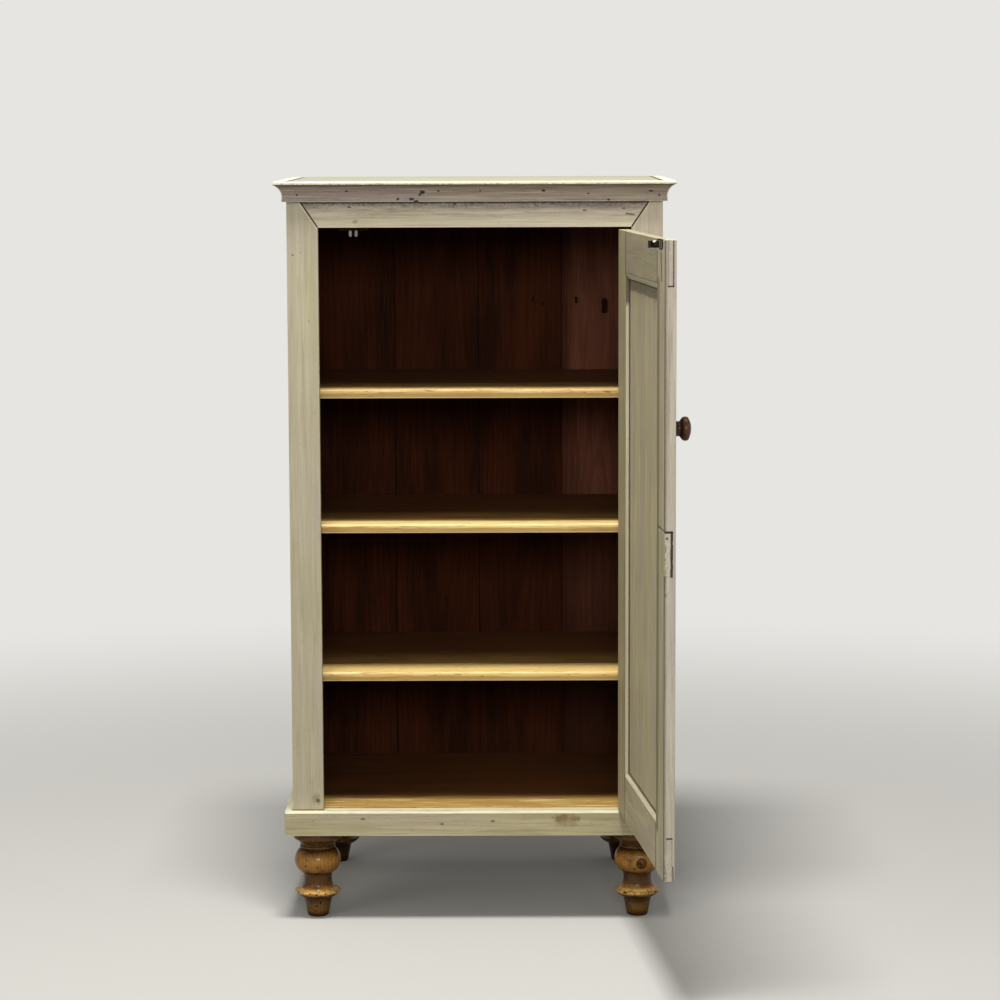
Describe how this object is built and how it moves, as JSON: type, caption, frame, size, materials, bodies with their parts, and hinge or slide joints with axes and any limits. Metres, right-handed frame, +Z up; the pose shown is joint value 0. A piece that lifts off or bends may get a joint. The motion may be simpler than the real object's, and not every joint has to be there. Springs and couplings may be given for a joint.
{
  "type": "bonnetiere cabinet",
  "caption": "Tall narrow painted pine cupboard with one framed door, fixed shelves, a hollow cornice and turned wooden feet.",
  "frame": {"origin": "middle of the box round the cabinet with its door open, on the floor", "axes": "+X to the cabinet's right seen from the front, +Y from its front to its back, +Z up"},
  "size_m": [0.696, 1.0464, 1.3025],
  "materials": {
    "painted_pine": "brushed greige paint on pine, worn to pale wood on edges",
    "painted_door": "brushed off-white paint on pine, chipped on edges",
    "painted_bead": "cream paint on small moulding",
    "aged_pine": "old darkened pine, dull",
    "shelf_pine": "planed pine, lightly waxed",
    "waxed_foot_wood": "turned and waxed, glossy",
    "dark_knob_wood": "turned, dark polish",
    "patch_wood": "let-in softwood, unpainted",
    "hinge_steel": "dull worn steel",
    "screw_steel": "dull slotted screws",
    "catch_steel": "plated steel gone yellow",
    "white_nylon": "smooth nylon"
  },
  "bodies": {
    "carcass": {"side_left": "painted_pine", "side_right": "painted_pine", "top_board": "painted_pine", "bottom_board": "shelf_pine", "back_board_1": "aged_pine", "back_board_2": "aged_pine", "back_board_3": "aged_pine", "back_board_4": "aged_pine", "shelf_lower": "shelf_pine", "cleat_lower_left": "aged_pine", "cleat_lower_right": "aged_pine", "shelf_middle": "shelf_pine", "cleat_middle_left": "aged_pine", "cleat_middle_right": "aged_pine", "shelf_upper": "shelf_pine", "cleat_upper_left": "aged_pine", "cleat_upper_right": "aged_pine", "frame_stile_left": "painted_pine", "frame_stile_right": "painted_pine", "head_rail": "painted_pine", "bottom_rail": "painted_pine", "cornice_front": "painted_pine", "cornice_left": "painted_pine", "cornice_right": "painted_pine", "plinth_front": "painted_pine", "plinth_left": "painted_pine", "plinth_right": "painted_pine", "foot_front_left": "waxed_foot_wood", "foot_front_right": "waxed_foot_wood", "foot_rear_left": "waxed_foot_wood", "foot_rear_right": "waxed_foot_wood", "bearer_front": "aged_pine", "bearer_rear": "aged_pine", "catch_block": "aged_pine", "catch_channel": "catch_steel", "hinge_lower_frame_leaf": "hinge_steel", "hinge_upper_frame_leaf": "hinge_steel", "hinge_pins": "hinge_steel", "screws_carcass": "screw_steel"},
    "door": {"door_lock_stile": "painted_door", "door_hinge_stile": "painted_door", "door_top_rail": "painted_door", "door_bottom_rail": "painted_door", "door_panel": "painted_door", "door_bead_top": "painted_bead", "door_bead_bottom": "painted_bead", "door_bead_lock": "painted_bead", "door_bead_hinge": "painted_bead", "lock_patch": "patch_wood", "knob": "dark_knob_wood", "catch_strike": "catch_steel", "hinge_lower_door_leaf": "hinge_steel", "hinge_upper_door_leaf": "hinge_steel", "screws_door": "screw_steel"},
    "catch_slider_left": {"catch_slider_left": "catch_steel"},
    "catch_slider_right": {"catch_slider_right": "catch_steel"},
    "catch_roller_left": {"catch_roller_left": "white_nylon"},
    "catch_roller_right": {"catch_roller_right": "white_nylon"}
  },
  "joints": [
    {"name": "door_hinge", "type": "hinge", "parent": "carcass", "child": "door", "pos_m": [0.27025, 0.01556, 0.707], "axis": [0, 0, 1], "range_deg": [-95.8, 79]},
    {"name": "catch_slide_left", "type": "slide", "parent": "carcass", "child": "catch_slider_left", "axis": [-1, 0, 0], "range_m": [0, 0.0015], "stiffness_N_per_m": 400},
    {"name": "catch_roll_left", "type": "hinge", "parent": "catch_slider_left", "child": "catch_roller_left", "pos_m": [-0.216, 0.04816, 1.212], "axis": [0, 0, 1], "continuous": true},
    {"name": "catch_slide_right", "type": "slide", "parent": "carcass", "child": "catch_slider_right", "axis": [1, 0, 0], "range_m": [0, 0.0015], "stiffness_N_per_m": 400},
    {"name": "catch_roll_right", "type": "hinge", "parent": "catch_slider_right", "child": "catch_roller_right", "pos_m": [-0.206, 0.04816, 1.212], "axis": [0, 0, 1], "continuous": true}
  ]
}
